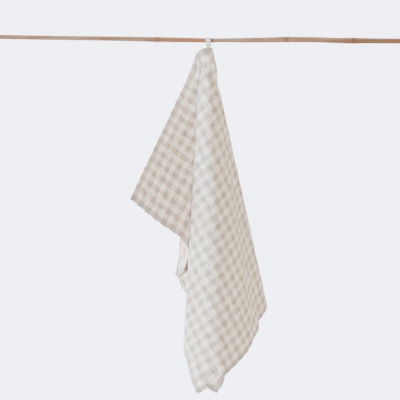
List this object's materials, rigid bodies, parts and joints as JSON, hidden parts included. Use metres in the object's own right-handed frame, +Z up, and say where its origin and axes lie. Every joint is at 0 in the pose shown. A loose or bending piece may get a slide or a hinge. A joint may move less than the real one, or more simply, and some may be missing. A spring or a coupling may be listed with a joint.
{
  "type": "tea towel on a hanging rod",
  "caption": "Checked linen tea towel hanging in soft folds from a tape loop at one corner, over a thin natural wooden rod.",
  "frame": {"origin": "centre of the rod's left end face", "axes": "+X along the rod to the right, +Y away from the viewer, +Z up"},
  "size_m": [1.05, 0.2911, 0.8893],
  "materials": {
    "gingham_linen": "soft woven linen, off-white and beige checks",
    "cotton_tape": "plain off-white woven tape",
    "natural_stick": "bare matte wood"
  },
  "bodies": {
    "root": {"towel": "gingham_linen", "hanging_loop": "cotton_tape", "rod": "natural_stick"}
  },
  "joints": []
}
